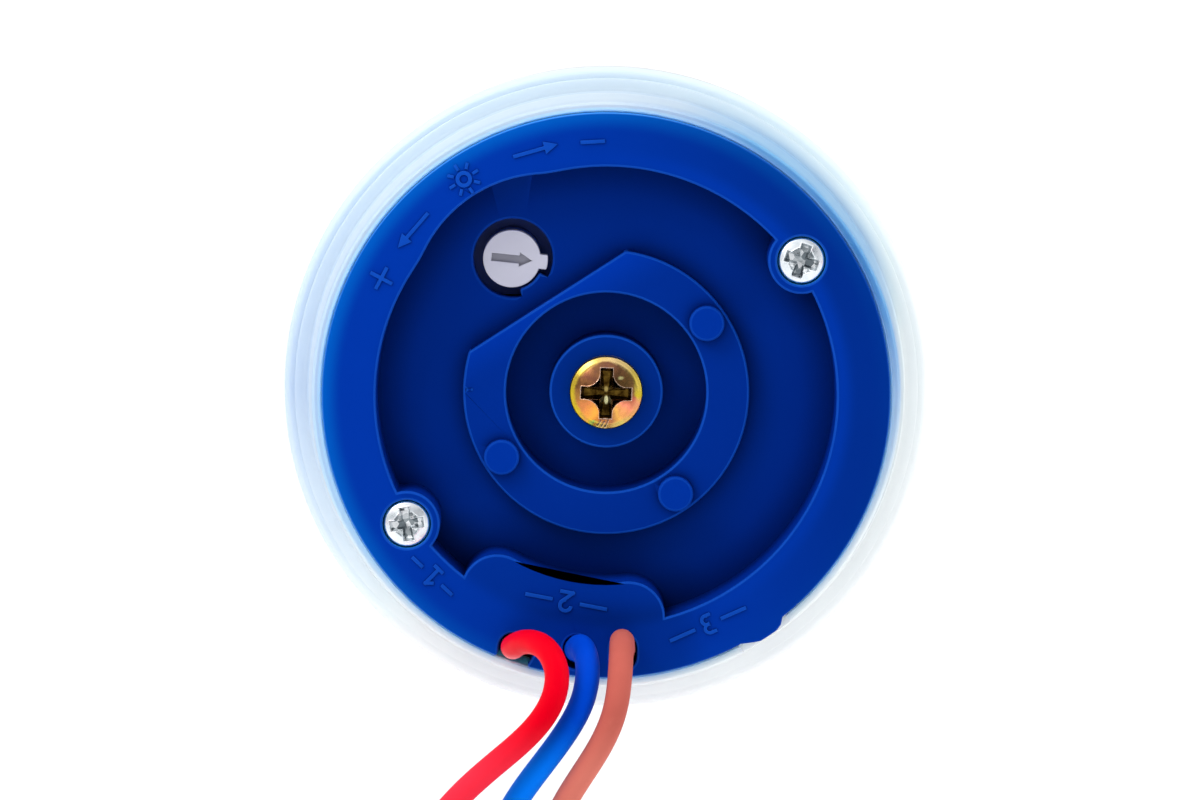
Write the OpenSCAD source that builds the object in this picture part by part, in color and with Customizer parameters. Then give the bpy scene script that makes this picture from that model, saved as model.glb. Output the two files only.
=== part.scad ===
// Round day-night photocell switch for outdoor lamps, held by a bracket on
// the axis of its blue base. Millimetres. +Z is up, the base looks along -Y,
// the light-sensing dome looks along +Y and the three leads hang down.
// The origin is on the axis, in the plane where the bracket sits.
//
// Every module is drawn with its own z axis pointing out of the base and is
// then turned by face_y(), so heights below are "towards the bracket".

/* [Cover] */
// Largest radius of the opal cover, at its shoulder
cover_r = 37.5; // [37:0.1:39]
// Overall length from the rim face of the base to the top of the dome
body_len = 50; // [46:0.5:60]
// Wall thickness of the dome
cover_wall = 1.8; // [1.2:0.1:2.4]
// Height of the front of the shoulder (negative is behind the bracket seat)
shoulder_z = -2.6; // [-3:0.1:-2]

/* [Base] */
// Radius of the base disc
base_r = 32.7; // [32.5:0.05:32.72]
// Height of the rim face above the bracket seat
rim_z = 4.7; // [4:0.1:5]
// Height of the floor between rim and bracket seat
floor_z = -2.5; // [-3:0.1:-2]
// Radius of the main recess inside the rim
recess_r = 26.5; // [26:0.1:27]
// Outer radius of the raised bracket seat
seat_r = 16.6; // [16:0.1:17]
// Inner radius of the raised bracket seat
seat_hole_r = 11.6; // [11:0.1:12]
// Distance from the axis to the flat of the bracket seat
seat_flat = 12.6; // [12.2:0.1:14]
// Radius of the centre boss
boss_r = 6.6; // [6:0.1:7]
// Height of the face of the centre boss
boss_z = -1.1; // [-1.5:0.1:-0.5]

/* [Locating pips] */
// Radius of each pip
pip_r = 2.05; // [1.8:0.05:2.2]
// Height of each pip above the seat
pip_h = 1.5; // [1:0.1:2]
// Distance of the pips from the axis
pip_pcr = 14.2; // [14:0.1:14.4]

/* [Adjuster] */
// Radius of the adjuster knob
knob_r = 3.35; // [3.2:0.05:3.5]
// Reach of the pointer tab from the knob's axis
tab_reach = 4.2; // [4:0.05:4.25]
// Angle that the pointer tab is set to
knob_angle = -6; // [-6:1:-6]
// Radius of the hole around the knob
knob_hole_r = 4.6; // [4.6:0.05:4.7]

/* [Leads] */
// Outside diameter of each lead
lead_d = 2.8; // [2.4:0.1:2.8]
// Diameter of the stripped, tinned conductor
core_d = 1.3; // [1:0.1:1.6]
// Length of bare conductor at each free end
strip_len = 8; // [5:1:12]

/* [Hidden] */

$fn = 96;
wall = 2;               // wall thickness of the moulded base
plate = 2.2;            // thickness of its flat plates
skirt_ri = 30.6;        // inside of the skirt that enters the cover
skirt_ro = 32.4;
skirt_z = -8.5;         // end of the skirt, on the seal
seal_z = -9.7;          // seal ledge in the cover
ledge_t = 1.5;
moat_z = -6;            // floor of the groove around the boss
top_z = rim_z - body_len;
pcb_z = -11.5;          // face of the circuit board towards the base
pcb_t = 1.6;
comp_z = pcb_z - pcb_t; // face of the board towards the dome
// cover screws: x, y
screw_at = [[22.4, 15.7], [-23.0, -14.75]];
lobe_r = 3.85;
seat_in = 1.8;          // how deep the screw heads sit
pip_a = [35, 211.5, 304.5];
board_at = [[19, -15], [-19, 15]];
flat_a = 122.7;         // direction of the flat of the seat
hole_at = [-10.8, 15.4];
knob_at = [-10.95, 15.3];
knob_z = floor_z - 0.4; // top of the knob
knob_t = 1.6;
shaft_r = 1.5;
notch_x0 = -12.2;       // lead notch
notch_x1 = 3.7;
notch_y = -27.2;
tab_a0 = 298.4;         // small tab that stops the base turning in the cover
tab_a1 = 308.6;
tab_r = 33.55;
red_hole = [-10.8, -29.1];

// Turns a module so that its z axis points along -Y
module face_y() { rotate([90, 0, 0]) children(); }
module at(p, z = 0) { translate([p[0], p[1], z]) children(); }
module rod(r, z0, z1, fn = 64) { translate([0, 0, z0]) cylinder(r = r, h = z1 - z0, $fn = fn); }
module block(x0, x1, y0, y1, z0, z1) { translate([x0, y0, z0]) cube([x1 - x0, y1 - y0, z1 - z0]); }
function polar(r, a) = [r * cos(a), r * sin(a)];
function arc(c, r, a0, a1, n) = [for (i = [0:n]) [c[0] + r * cos(a0 + (a1 - a0) * i / n), c[1] + r * sin(a0 + (a1 - a0) * i / n)]];
module wedge(a0, a1, r = 60) { polygon(concat([[0, 0]], [for (i = [0:6]) polar(r, a0 + (a1 - a0) * i / 6)])); }
module ring(ro, ri, z0, z1) {
    translate([0, 0, z0]) linear_extrude(z1 - z0) difference() { circle(ro); circle(ri); }
}

// ---------- base ----------
// Thick land beside the lead notch, which carries the lead numbers
module land2d() {
    offset(r = -0.8) offset(r = 0.8) {
        difference() { wedge(240.7, 275.8, 29); circle(21.57); }
        translate(polar(25.72, 240.7)) circle(4.15);
        translate(polar(25.77, 275.8)) circle(4.2);
    }
}
// Small tab on the edge of the disc, with sloping ends
module tab2d() {
    polygon([polar(31, tab_a0), polar(base_r - 0.02, tab_a0), polar(33.3, 301), polar(tab_r, 302.2),
        polar(tab_r, 304), polar(tab_r, 306), polar(33.3, 307.3), polar(base_r - 0.02, tab_a1), polar(31, tab_a1)]);
}
// The recess is round, with a bulge for the adjuster blended into it
module bay2d(g = 0) {
    offset(r = -20) offset(r = 20 + g) {
        circle(recess_r);
        translate(polar(12.1, 124)) circle(15.6);
    }
}
// Outline of the recess, seen from the base side
module recess2d() {
    difference() {
        bay2d();
        for (p = screw_at) translate(p) circle(lobe_r);
        land2d();
    }
}
module recess_wall2d() {
    difference() {
        bay2d(wall);
        recess2d();
    }
}
module seat2d() {
    difference() {
        intersection() {
            circle(seat_r);
            rotate(flat_a) translate([-40, -40]) square([40 + seat_flat, 80]);
        }
        circle(seat_hole_r);
    }
}
module stroke(a, b, w = 0.42) {
    d = b - a; l = norm(d);
    translate(a) rotate(atan2(d[1], d[0])) translate([-w / 2, -w / 2]) square([l + w, w]);
}
module plus2d() { stroke([-1.2, 0], [1.2, 0]); stroke([0, -1.2], [0, 1.2]); }
module minus2d() { stroke([-1.2, 0], [1.2, 0]); }
// An arrow along +X, centred
module arrow2d() {
    stroke([-2.4, 0], [1.6, 0]);
    polygon([[1.1, -0.75], [2.7, 0], [1.1, 0.75]]);
}
// A plain sun, for the level of light
module sun2d() {
    difference() { circle(0.95, $fn = 32); circle(0.5, $fn = 32); }
    for (i = [0:7]) rotate(45 * i) stroke([1.35, 0], [1.75, 0], 0.36);
}
module one2d() { stroke([0, -1.1], [0, 1.1]); stroke([-0.55, 0.6], [0, 1.1]); stroke([-0.5, -1.1], [0.5, -1.1]); }
module two2d() {
    intersection() {
        translate([0, 0.45]) difference() { circle(0.85, $fn = 32); circle(0.43, $fn = 32); }
        union() { translate([-2, 0.45]) square([4, 2]); translate([0, -0.4]) square([2, 1]); }
    }
    stroke([0.5, 0.05], [-0.6, -1.1]);
    stroke([-0.6, -1.1], [0.7, -1.1]);
}
module three2d() {
    for (y = [0.52, -0.52]) intersection() {
        translate([0, y]) difference() { circle(0.72, $fn = 32); circle(0.32, $fn = 32); }
        translate([-0.25, -2]) square([2, 4]);
    }
    stroke([-0.5, 1.04], [-0.2, 1.04], 0.4);
    stroke([-0.5, -1.04], [-0.2, -1.04], 0.4);
}
// Puts a mark on the rim at radius r and angle a, its top towards the edge
module on_rim(r, a) { rotate(a - 90) translate([0, r]) children(); }
// The same, its top towards the axis
module under_rim(r, a) { rotate(a + 90) translate([0, -r]) children(); }
module marks2d() {
    on_rim(29.2, 152) plus2d();
    on_rim(29.3, 139) mirror([1, 0]) arrow2d();
    on_rim(29.9, 123) sun2d();
    on_rim(29.5, 106) arrow2d();
    on_rim(29.4, 93) minus2d();
    under_rim(28.9, 226) rotate(180) one2d();
    under_rim(28.9, 226) for (s = [-1, 1]) stroke([s * 1.7, 0], [s * 3, 0]);
    under_rim(24.2, 259) rotate(180) two2d();
    under_rim(24.2, 259) for (s = [-1, 1]) stroke([s * 1.8, 0], [s * 4.6, 0]);
    under_rim(28.9, 294) rotate(180) three2d();
    under_rim(28.9, 294) for (s = [-1, 1]) stroke([s * 1.8, 0], [s * 4.6, 0]);
}
module base() {
    color([0.01, 0.22, 0.68]) face_y() {
        difference() {
            union() {
                // rim plate and the tab on its edge
                translate([0, 0, rim_z - plate]) linear_extrude(plate) {
                    difference() { circle(base_r, $fn = 180); recess2d(); }
                    tab2d();
                }
                linear_extrude(rim_z - plate + 0.1) tab2d();
                // block behind the rim that the leads pass through
                translate([0, 0, -1.2]) linear_extrude(rim_z + 1.2 - 0.5) intersection() {
                    circle(32);
                    translate([notch_x0 - 1, -34]) square([notch_x1 - notch_x0 + 2, 34 + notch_y + 1]);
                }
                // wall of the recess, with the land and the two lobes
                translate([0, 0, floor_z - plate]) linear_extrude(rim_z - floor_z) recess_wall2d();
                // skirt
                ring(skirt_ro, skirt_ri, skirt_z, rim_z - 1);
                // floor
                translate([0, 0, floor_z - plate]) linear_extrude(plate) difference() {
                    circle(recess_r + wall - 0.6);
                    circle(seat_hole_r + 1);
                    translate(hole_at) circle(knob_hole_r);
                }
                // stop that ends the knob's turn
                at(knob_at, floor_z - plate) linear_extrude(plate) difference() {
                    wedge(-75, -27, 6);
                    circle(3.6);
                }
                // seat for the bracket, with its three pips
                translate([0, 0, floor_z - plate]) linear_extrude(-floor_z + plate) seat2d();
                for (a = pip_a) at(polar(pip_pcr, a)) rod(pip_r, -1, pip_h);
                translate([0, 0, -0.2]) linear_extrude(0.32) stroke([-16.1, 0.35], [-15.5, 0.35], 0.3);
                // groove and centre boss
                ring(seat_hole_r + 2, seat_hole_r, moat_z - wall, floor_z - 0.5);
                ring(seat_hole_r + 1, boss_r - 0.5, moat_z - wall, moat_z);
                rod(boss_r, -9.5, boss_z);
                // posts for the circuit board
                for (p = board_at) at(p) rod(2.5, pcb_z, floor_z - 1);
                // raised marks
                translate([0, 0, rim_z - 0.3]) linear_extrude(0.5) marks2d();
            }
            // cover screws: clearance and seat
            for (p = screw_at) at(p) {
                rod(1.75, -12, 12);
                rod(2.8, rim_z - seat_in, 12);
            }
            // room for the leads through the skirt
            block(notch_x0, notch_x1, -40, notch_y, -12, -1.2);
            // hole of the red lead, open at the edge of the disc
            translate([0, 0, rim_z - plate]) linear_extrude(12) hull() {
                translate(red_hole) circle(1.65, $fn = 40);
                translate([-10.4, -29.4]) circle(1.6, $fn = 40);
                translate([-11.5, -31.7]) circle(1.4, $fn = 40);
            }
            translate([0, 0, -2]) linear_extrude(7) hull() {
                translate([-9.95, -29.5]) circle(1.62, $fn = 40);
                translate([-10.6, -29.3]) circle(1.62, $fn = 40);
                translate([-11, -31.7]) circle(1.4, $fn = 40);
            }
            // holes of the blue and the brown lead
            translate([0, 0, -2]) linear_extrude(12)
                hull() for (y = [-30.15, -29.2]) translate([-3.45, y]) circle(1.52, $fn = 40);
            translate([0, 0, -2]) linear_extrude(12)
                hull() for (y = [-30.25, -29.2]) translate([2, y]) circle(1.55, $fn = 40);
            // relief behind the land
            translate([0, 0, -12]) linear_extrude(12 + rim_z - plate) intersection() {
                wedge(243.5, 273);
                difference() { circle(25.3); circle(23.4); }
            }
            // centre: screw hole and pocket of the insert
            rod(2.1, -12, 4);
            rod(3.0, -12, boss_z - 0.6);
            // pilot holes of the board screws
            for (p = board_at) at(p) rod(1.0, -12, -6);
        }
    }
}

// ---------- cover ----------
cover_outer = concat(
    [[32.74, rim_z - 0.9], [32.95, rim_z - 0.6], [33.6, rim_z - 0.6], [33.85, rim_z - 0.85]],
    [[34.6, shoulder_z + 0.5], [34.8, shoulder_z + 0.12], [35.2, shoulder_z]],
    [[cover_r - 1.3, shoulder_z - 0.15], [cover_r - 1.25, shoulder_z - 0.4]],
    arc([cover_r - 0.9, shoulder_z - 1.3], 0.9, 90, 0, 6),
    [[cover_r - 0.25, -12], [cover_r - 0.7, -20], [cover_r - 1.4, -28]],
    arc([cover_r - 12.9, top_z + 13], 11.3, -4, -72, 14),
    [[18, top_z + 1.35], [9, top_z + 0.35], [0, top_z]]);
cover_inner = concat(
    [[0, top_z + cover_wall], [9, top_z + cover_wall + 0.35], [18, top_z + cover_wall + 1.4]],
    arc([cover_r - 12.9, top_z + 13], 11.3 - cover_wall, -70, -4, 12),
    [[cover_r - 1.4 - cover_wall, -28], [cover_r - 0.7 - cover_wall, -20], [cover_r - 0.35 - cover_wall, seal_z - ledge_t]],
    [[30.2, seal_z - ledge_t], [30.2, seal_z]],
    [[cover_r - 0.25 - cover_wall, seal_z], [cover_r - 0.2 - cover_wall, shoulder_z - 1.9], [cover_r - 0.9 - cover_wall, shoulder_z - 1.5]],
    [[33.2, shoulder_z - 1.4], [32.85, shoulder_z - 0.8]]);
module cover() {
    color([0.95, 0.98, 1]) face_y() {
        difference() {
            union() {
                rotate_extrude($fn = 180) polygon(concat(cover_outer, cover_inner));
                // screw posts, each tied to the wall by a rib
                for (p = screw_at) {
                    a = atan2(p[1], p[0]);
                    at(p) rod(3.0, -22, -5.2);
                    rotate(a) block(norm(p) + 1.5, 34.9, -0.9, 0.9, -22, seal_z - ledge_t + 0.1);
                }
            }
            for (p = screw_at) at(p) rod(1.25, -20, 0);
            // gap for the tab of the base
            translate([0, 0, -0.4]) linear_extrude(10) intersection() {
                wedge(tab_a0 - 0.5, tab_a1 + 0.5);
                difference() { circle(36); circle(31.5); }
            }
        }
    }
}

// ---------- fasteners ----------
// Cross recess for a driver
module cross2d(s, w) { for (a = [0, 90]) rotate(a) square([s, w], center = true); rotate(45) square(s * 0.42, center = true); }
// Pan head screw, head upwards, seat at z 0
module pan_screw(head_r, head_h, shank_r, len, turn) {
    difference() {
        union() {
            rotate_extrude($fn = 64) polygon(concat([[0, 0], [head_r, 0]],
                arc([head_r - head_h * 0.55, head_h * 0.45], head_h * 0.55, 0, 90, 8), [[0, head_h]]));
            rod(shank_r, -len + shank_r * 0.8, 0.2);
            translate([0, 0, -len]) cylinder(r1 = shank_r * 0.35, r2 = shank_r, h = shank_r * 0.8, $fn = 32);
        }
        translate([0, 0, head_h * 0.3]) linear_extrude(head_h) rotate(turn) cross2d(head_r * 1.25, head_r * 0.34);
    }
}
module cover_screws() {
    color([0.82, 0.85, 0.88]) face_y()
        for (i = [0, 1]) at(screw_at[i], rim_z - seat_in) pan_screw(2.65, 2.1, 1.45, 16, i == 0 ? -18 : 8);
}
module bracket_screw() {
    color([0.85, 0.68, 0.3]) face_y() at([0, 0], boss_z) pan_screw(4.25, 2.6, 1.95, 10, -2);
}
module brass_insert() {
    color([0.8, 0.62, 0.25]) face_y() difference() {
        rod(3.0, -9.3, boss_z - 0.6);
        rod(1.85, -12, 0);
    }
}
module board_screws() {
    color([0.7, 0.72, 0.75]) face_y() for (p = board_at) at(p, comp_z) mirror([0, 0, 1]) pan_screw(2.3, 1.6, 1.15, 6.5, 20);
}
module seal_ring() {
    color([0.12, 0.12, 0.13]) face_y() ring(skirt_ro - 0.1, skirt_ri + 0.1, seal_z, skirt_z);
}

// ---------- light level adjuster ----------
module lux_knob() {
    color([0.8, 0.81, 0.85]) face_y() at(knob_at) rotate(knob_angle) {
        difference() {
            union() {
                rod(knob_r, knob_z - knob_t, knob_z);
                intersection() {
                    block(knob_r - 1, tab_reach + 1, -0.85, 0.85, knob_z - knob_t, knob_z);
                    rod(tab_reach, knob_z - knob_t - 1, knob_z + 1);
                }
                rod(shaft_r, -8.2, knob_z - knob_t + 0.1);
            }
            // arrow cut into the face
            translate([0, 0, knob_z - 0.5]) linear_extrude(1)
                polygon([[-2.35, -0.45], [0.9, -0.45], [0.9, -0.8], [2.35, 0], [0.9, 0.8], [0.9, 0.45], [-2.35, 0.45]]);
        }
    }
}
module trimmer_body() {
    color([0.16, 0.17, 0.2]) face_y() at(knob_at) difference() {
        union() {
            block(-4.6, 4.6, -4.6, 4.6, pcb_z, -8.2);
            rod(3.4, -8.3, -6.6);
        }
        rod(shaft_r + 0.04, -8.5, 0);
    }
}

// ---------- circuit board and what is on it ----------
module circuit_board() {
    color([0.75, 0.62, 0.35]) face_y() translate([0, 0, comp_z]) linear_extrude(pcb_t) difference() {
        circle(29.8, $fn = 120);
        circle(4);
        for (p = screw_at) translate(p) circle(3.5);
        for (p = board_at) translate(p) circle(1.4);
    }
}
module relay() {
    color([0.1, 0.2, 0.5]) face_y() {
        block(-5.5, 13.5, -17.6, -2.1, comp_z - 15.5, comp_z - 0.3);
        block(-4.8, 12.8, -16.9, -2.8, comp_z - 0.4, comp_z);
    }
}
module film_capacitor() { color([0.75, 0.2, 0.15]) face_y() block(-9, 9, 10.2, 18.2, comp_z - 14, comp_z); }
module electrolytic_capacitor() {
    color([0.1, 0.1, 0.12]) face_y() at([-17.5, 1]) rotate_extrude($fn = 64) polygon([
        [0, comp_z], [5, comp_z], [5, comp_z - 1.8], [4.75, comp_z - 2.2], [5, comp_z - 2.6],
        [5, comp_z - 12.6], [4.6, comp_z - 13], [0, comp_z - 13]]);
}
module varistor() {
    color([0.1, 0.35, 0.7]) face_y() {
        translate([16, 4, comp_z - 7.5]) rotate([0, 90, 0]) cylinder(r = 5.5, h = 3.8, $fn = 64);
        for (y = [1.5, 6.5]) at([17.9, y]) rod(0.4, comp_z - 4, comp_z, 24);
    }
}
// Body lying along x with its two legs bent down to the board
module axial(r, l, pitch) {
    h = r + 0.6;
    translate([-l / 2, 0, comp_z - h]) rotate([0, 90, 0]) cylinder(r = r, h = l, $fn = 32);
    translate([-pitch / 2, 0, comp_z - h]) rotate([0, 90, 0]) cylinder(r = 0.3, h = pitch, $fn = 16);
    for (s = [-1, 1]) translate([s * pitch / 2, 0, comp_z - h]) cylinder(r = 0.3, h = h, $fn = 16);
    for (s = [-1, 1]) translate([s * pitch / 2, 0, comp_z - h]) sphere(r = 0.3, $fn = 16);
}
module rectifier_diodes() {
    color([0.12, 0.12, 0.13]) face_y() for (i = [0:3]) at([-13.2 + (i > 1 ? 0.4 : 0), -9.2 - 3.4 * i]) axial(1.3, 5, 8.4);
}
module zener_diode() { color([0.8, 0.35, 0.2]) face_y() at([-12, 7.4]) rotate(90) axial(0.95, 3.8, 6.6); }
module transistor() {
    color([0.1, 0.1, 0.11]) face_y() {
        at([-8.5, 5.2], comp_z - 7.2) linear_extrude(4.8) intersection() {
            circle(2.35, $fn = 48);
            translate([-3, -1.3]) square([6, 5]);
        }
        for (x = [-1.27, 0, 1.27]) at([-8.5 + x, 5.2]) rod(0.25, comp_z - 3, comp_z, 16);
    }
}
module resistors() {
    color([0.82, 0.72, 0.52]) face_y() for (i = [0:2]) at([11.2 + 2.9 * i, 15.6]) rotate(90) axial(1.15, 6.2, 9.6);
}
module dropper_resistor() { color([0.35, 0.5, 0.6]) face_y() at([0.5, -22.3]) axial(2.1, 11, 15); }
module ldr_holder() {
    color([0.12, 0.12, 0.13]) face_y() at([0, 4.4]) ring(3.4, 2.7, -41, comp_z);
}
module ldr() {
    color([0.85, 0.5, 0.25]) face_y() at([0, 4.4]) {
        rod(2.6, -41.6, -39.6);
    }
}
module ldr_legs() {
    color([0.8, 0.8, 0.82]) face_y() for (x = [-1.27, 1.27]) at([x, 4.4]) rod(0.27, -39.6, comp_z, 20);
}

// ---------- leads ----------
// Route of each lead: from the board, out of the notch, over the rim and down.
red_route = [[-8.5, -26.5, -11.5], [-8.5, -26.5, -8.5], [-9.4, -29.4, -5], [-10.3, -29.5, 0], [-10.8, -29.3, 4],
    [-10.8, -28.4, 8.5], [-9.2, -27, 12.4], [-6.8, -27, 16], [-5.2, -29.6, 19], [-6, -33.2, 20.5],
    [-8.6, -36.5, 21], [-12.2, -39.5, 21], [-16.2, -43, 20.5], [-20, -47.5, 20], [-23, -53, 19.5],
    [-25, -60, 19], [-26, -69, 18.5], [-26.5, -81, 18], [-26.5, -94, 18], [-26.5, -107, 18],
    [-26.5, -121, 18], [-26.5, -135, 18]];
blue_route = [[-3.5, -27, -11.5], [-3.5, -27, -8.5], [-3.5, -29.3, -4.7], [-3.5, -30.3, -0.5], [-3.5, -29.7, 3.5],
    [-3.3, -28.6, 7.3], [-2.7, -27.7, 11.7], [-1.9, -29.4, 15.6], [-2.4, -33, 17.7], [-4.4, -36.6, 18.2],
    [-7.3, -40.4, 18.5], [-10.5, -44.6, 18.5], [-13, -50, 18], [-15, -58, 17.5], [-16, -67, 17],
    [-16.5, -78, 17], [-16.5, -90, 17], [-16.5, -103, 17], [-16.5, -117, 17], [-16.5, -131, 17],
    [-16.5, -144, 17]];
brown_route = [[2, -27, -11.5], [2, -27, -8.5], [2, -29.4, -4.7], [2, -30.5, -0.8], [2, -29.8, 3.4],
    [1.9, -28.5, 7.2], [1.8, -26.9, 11.2], [1.7, -28.1, 15.8], [1.5, -31.6, 18.4], [0.8, -35.2, 19],
    [-1.1, -39, 19], [-3.8, -43, 18.5], [-6.3, -47.5, 18.5], [-7.9, -53.5, 18], [-8.6, -61.5, 17.5],
    [-9, -71, 17], [-9, -83, 17], [-9, -96, 17], [-9, -109, 17], [-9, -122, 17],
    [-9, -135, 17], [-9, -147, 17]];
// Smooth curve (uniform cubic B-spline) through the route, one point a span
function ext(p) = concat([2 * p[0] - p[1]], p, [2 * p[len(p) - 1] - p[len(p) - 2]]);
function knots(p) = let (q = ext(p)) [for (i = [0:len(p) - 1]) (q[i] + 4 * q[i + 1] + q[i + 2]) / 6];
function unit(v) = v / norm(v);
function dirs(p) = let (q = ext(p)) [for (i = [0:len(p) - 1]) unit(q[i + 2] - q[i])];
module lead(route) {
    n = 8; r = lead_d / 2;
    c = knots(route); t = dirs(route); m = len(c);
    pts = [for (i = [0:m - 1]) let (u = unit(cross(t[i], [1, 0, 0])), v = cross(t[i], u))
        for (k = [0:n - 1]) c[i] + r * (cos(360 * k / n) * u + sin(360 * k / n) * v)];
    faces = concat(
        [[for (k = [0:n - 1]) k]],
        [for (i = [0:m - 2]) for (k = [0:n - 1]) let (a = i * n + k, b = i * n + (k + 1) % n) [a, a + n, b + n]],
        [for (i = [0:m - 2]) for (k = [0:n - 1]) let (a = i * n + k, b = i * n + (k + 1) % n) [a, b + n, b]],
        [[for (k = [n - 1:-1:0]) (m - 1) * n + k]]);
    polyhedron(points = pts, faces = faces, convexity = 8);
}
module lead_end(route) {
    p = route[len(route) - 1];
    translate(p) rotate([90, 0, 0]) cylinder(r = core_d / 2, h = strip_len, $fn = 24);
}
module red_lead() { color([0.9, 0.02, 0.1]) face_y() lead(red_route); }
module blue_lead() { color([0.02, 0.28, 0.75]) face_y() lead(blue_route); }
module brown_lead() { color([0.65, 0.28, 0.24]) face_y() lead(brown_route); }
module red_lead_end() { color([0.8, 0.8, 0.8]) face_y() lead_end(red_route); }
module blue_lead_end() { color([0.8, 0.8, 0.8]) face_y() lead_end(blue_route); }
module brown_lead_end() { color([0.8, 0.8, 0.8]) face_y() lead_end(brown_route); }

cover();
base();
cover_screws();
bracket_screw();
brass_insert();
seal_ring();
lux_knob();
trimmer_body();
circuit_board();
board_screws();
relay();
film_capacitor();
electrolytic_capacitor();
varistor();
rectifier_diodes();
zener_diode();
transistor();
resistors();
dropper_resistor();
ldr();
ldr_legs();
ldr_holder();
red_lead();
blue_lead();
brown_lead();
red_lead_end();
blue_lead_end();
brown_lead_end();
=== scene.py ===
"""Looks of a round day-night photocell switch, seen from its blue base."""
import math

import bmesh
import bpy
import numpy as np
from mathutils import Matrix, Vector, noise


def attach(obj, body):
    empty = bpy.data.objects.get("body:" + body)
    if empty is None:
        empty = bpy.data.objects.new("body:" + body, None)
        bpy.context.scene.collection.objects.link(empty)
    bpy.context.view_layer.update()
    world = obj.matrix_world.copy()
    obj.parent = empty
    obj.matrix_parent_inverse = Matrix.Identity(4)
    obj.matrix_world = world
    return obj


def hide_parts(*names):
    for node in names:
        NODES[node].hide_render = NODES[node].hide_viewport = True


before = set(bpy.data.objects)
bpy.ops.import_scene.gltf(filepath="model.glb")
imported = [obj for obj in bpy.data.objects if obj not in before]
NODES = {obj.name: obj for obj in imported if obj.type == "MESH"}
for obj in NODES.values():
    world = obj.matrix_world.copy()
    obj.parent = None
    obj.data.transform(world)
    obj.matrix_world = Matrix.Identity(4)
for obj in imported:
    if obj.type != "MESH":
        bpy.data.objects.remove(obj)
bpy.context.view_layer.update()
MM = 0.001
COL = bpy.context.scene.collection


def P(x, y, z):
    """A point given in millimetres with x right, y up and z out of the base."""
    return Vector((x * MM, -z * MM, y * MM))


# ------------------------------------------------------------------ camera
cam_data = bpy.data.cameras.new("camera")
cam_data.sensor_width = 36.0
cam_data.lens = 156.6
cam_data.clip_start, cam_data.clip_end = 0.01, 100.0
cam = bpy.data.objects.new("camera", cam_data)
COL.objects.link(cam)
aim = P(-0.7126, -0.3448, 4.7)
tilt = math.radians(6.4)
cam.location = aim + 0.6 * Vector((0, -math.cos(tilt), math.sin(tilt)))
cam.rotation_mode = "QUATERNION"
cam.rotation_quaternion = (aim - cam.location).to_track_quat("-Z", "Y")
bpy.context.scene.camera = cam
bpy.context.scene.view_settings.view_transform = "Standard"
bpy.context.scene.view_settings.look = "None"


# --------------------------------------------------------------- materials
def material(name):
    m = bpy.data.materials.new(name)
    m.use_nodes = True
    nt = m.node_tree
    b = nt.nodes["Principled BSDF"]
    return m, nt, b


def coords(nt, scale=(1, 1, 1), rotation=(0, 0, 0), location=(0, 0, 0)):
    c = nt.nodes.new("ShaderNodeTexCoord")
    mp = nt.nodes.new("ShaderNodeMapping")
    mp.inputs["Scale"].default_value = scale
    mp.inputs["Rotation"].default_value = rotation
    mp.inputs["Location"].default_value = location
    nt.links.new(c.outputs["Object"], mp.inputs["Vector"])
    return mp.outputs["Vector"]


def noise_tex(nt, vec, scale, detail=3.0, rough=0.55, distortion=0.0):
    n = nt.nodes.new("ShaderNodeTexNoise")
    n.inputs["Scale"].default_value = scale
    n.inputs["Detail"].default_value = detail
    n.inputs["Roughness"].default_value = rough
    n.inputs["Distortion"].default_value = distortion
    nt.links.new(vec, n.inputs["Vector"])
    return n.outputs["Fac"]


def ramp(nt, fac, stops, interpolation="LINEAR"):
    r = nt.nodes.new("ShaderNodeValToRGB")
    r.color_ramp.interpolation = interpolation
    e = r.color_ramp.elements
    while len(e) < len(stops):
        e.new(0.5)
    for i, (p, c) in enumerate(stops):
        e[i].position = p
        e[i].color = (*c, 1.0) if len(c) == 3 else c
    nt.links.new(fac, r.inputs["Fac"])
    return r.outputs["Color"]


def remap(nt, value, a, b, c=0.0, d=1.0, smooth=False):
    m = nt.nodes.new("ShaderNodeMapRange")
    m.interpolation_type = "SMOOTHSTEP" if smooth else "LINEAR"
    m.inputs["From Min"].default_value = a
    m.inputs["From Max"].default_value = b
    m.inputs["To Min"].default_value = c
    m.inputs["To Max"].default_value = d
    nt.links.new(value, m.inputs["Value"])
    return m.outputs["Result"]


def maths(nt, op, a, b=None):
    m = nt.nodes.new("ShaderNodeMath")
    m.operation = op
    for i, v in enumerate((a, b)):
        if v is None:
            continue
        if isinstance(v, (int, float)):
            m.inputs[i].default_value = v
        else:
            nt.links.new(v, m.inputs[i])
    return m.outputs[0]


def mix(nt, fac, a, b, mode="MIX"):
    m = nt.nodes.new("ShaderNodeMix")
    m.data_type = "RGBA"
    m.blend_type = mode
    for name, v in (("Factor", fac), ("A", a), ("B", b)):
        s = [i for i in m.inputs if i.name == name and (i.type == "RGBA") == (name != "Factor") and (name != "Factor" or i.type == "VALUE")][0]
        if isinstance(v, (int, float)):
            s.default_value = v
        elif isinstance(v, tuple):
            s.default_value = (*v, 1.0)
        else:
            nt.links.new(v, s)
    return [o for o in m.outputs if o.type == "RGBA"][0]


def bump(nt, bsdf, height, strength, distance):
    b = nt.nodes.new("ShaderNodeBump")
    b.inputs["Strength"].default_value = strength
    b.inputs["Distance"].default_value = distance
    nt.links.new(height, b.inputs["Height"])
    old = bsdf.inputs["Normal"].links
    if old:
        nt.links.new(old[0].from_socket, b.inputs["Normal"])
    nt.links.new(b.outputs["Normal"], bsdf.inputs["Normal"])


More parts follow.
